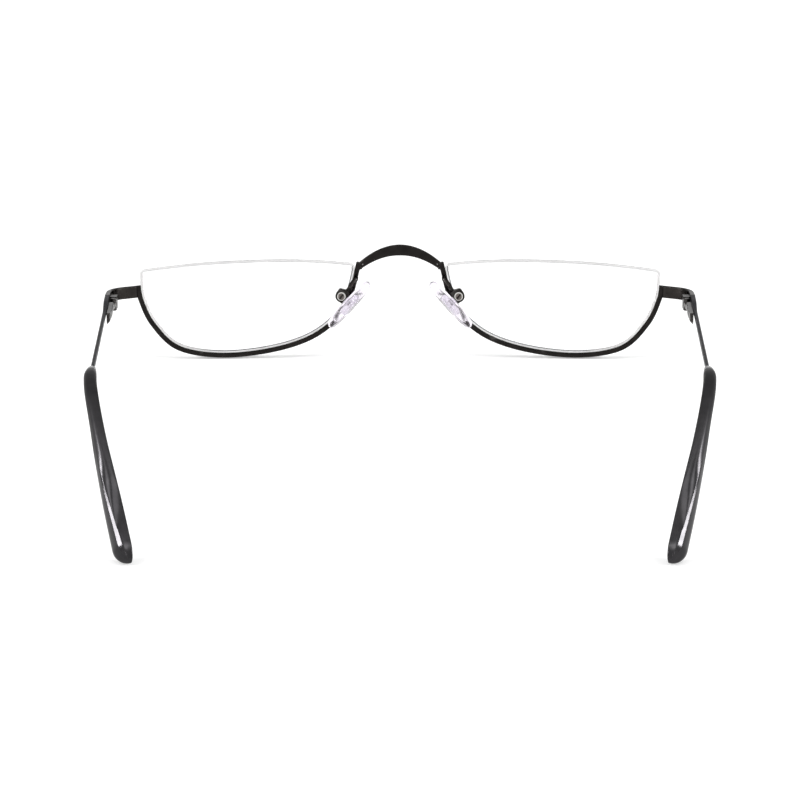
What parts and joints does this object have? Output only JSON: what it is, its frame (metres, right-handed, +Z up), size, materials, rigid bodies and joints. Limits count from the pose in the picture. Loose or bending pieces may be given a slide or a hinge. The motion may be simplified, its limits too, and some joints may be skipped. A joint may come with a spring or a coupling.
{
  "type": "reading glasses",
  "caption": "Half-rim reading glasses with metal lower rims, cord-held lenses, nose pads, spring hinges and folding arms with plastic tips.",
  "frame": {"origin": "centre of the bounding box's underside, on the surface that the rims and the arm tips stand on", "axes": "+X to the wearer's left, +Y to the rear, along the open arms, +Z up"},
  "size_m": [0.1382, 0.142, 0.0275],
  "materials": {
    "gunmetal": "satin dark gunmetal plating",
    "steel": "bright turned steel",
    "tip": "polished black",
    "lens": "clear, polished, antireflection coated",
    "nylon": "clear nylon monofilament",
    "pad": "clear soft plastic",
    "pad_core": "clear stiff plastic"
  },
  "bodies": {
    "front": {"bridge": "gunmetal", "rim_left": "gunmetal", "rim_liner_left": "nylon", "lens_left": "lens", "lens_cord_left": "nylon", "pad_arm_left": "gunmetal", "pad_box_left": "gunmetal", "pad_screw_left": "steel", "endpiece_left": "gunmetal", "hinge_leaf_left": "gunmetal", "hinge_screw_left": "steel", "rim_right": "gunmetal", "rim_liner_right": "nylon", "lens_right": "lens", "lens_cord_right": "nylon", "pad_arm_right": "gunmetal", "pad_box_right": "gunmetal", "pad_screw_right": "steel", "endpiece_right": "gunmetal", "hinge_leaf_right": "gunmetal", "hinge_screw_right": "steel"},
    "slider_left": {"hinge_slider_left": "steel"},
    "arm_left": {"hinge_bush_left": "steel", "hinge_spring_left": "steel", "hinge_housing_left": "gunmetal", "temple_left": "gunmetal", "temple_tip_left": "tip"},
    "pad_left": {"nose_pad_left": "pad", "pad_core_left": "pad_core"},
    "slider_right": {"hinge_slider_right": "steel"},
    "arm_right": {"hinge_bush_right": "steel", "hinge_spring_right": "steel", "hinge_housing_right": "gunmetal", "temple_right": "gunmetal", "temple_tip_right": "tip"},
    "pad_right": {"nose_pad_right": "pad", "pad_core_right": "pad_core"}
  },
  "joints": [
    {"name": "fold_left", "type": "hinge", "parent": "front", "child": "slider_left", "pos_m": [0.06713, -0.05493, 0.01625], "axis": [0, -0.0988, 0.9951], "range_deg": [0, 87]},
    {"name": "spring_travel_left", "type": "slide", "parent": "slider_left", "child": "arm_left", "axis": [-0.0427, 0.9942, 0.0987], "range_m": [0, 0.0008], "stiffness_N_per_m": 1500, "springref_m": -0.002, "deforming": ["hinge_spring_left"]},
    {"name": "pad_rock_left", "type": "hinge", "parent": "front", "child": "pad_left", "pos_m": [0.0138, -0.06097, 0.01653], "axis": [0, 0.9757, 0.2193], "range_deg": [-8, 8]},
    {"name": "fold_right", "type": "hinge", "parent": "front", "child": "slider_right", "pos_m": [-0.06713, -0.05493, 0.01625], "axis": [0, 0.0988, -0.9951], "range_deg": [0, 83]},
    {"name": "spring_travel_right", "type": "slide", "parent": "slider_right", "child": "arm_right", "axis": [0.0427, 0.9942, 0.0987], "range_m": [0, 0.0008], "stiffness_N_per_m": 1500, "springref_m": -0.002, "deforming": ["hinge_spring_right"]},
    {"name": "pad_rock_right", "type": "hinge", "parent": "front", "child": "pad_right", "pos_m": [-0.0138, -0.06097, 0.01653], "axis": [0, 0.9757, 0.2193], "range_deg": [-8, 8]}
  ]
}
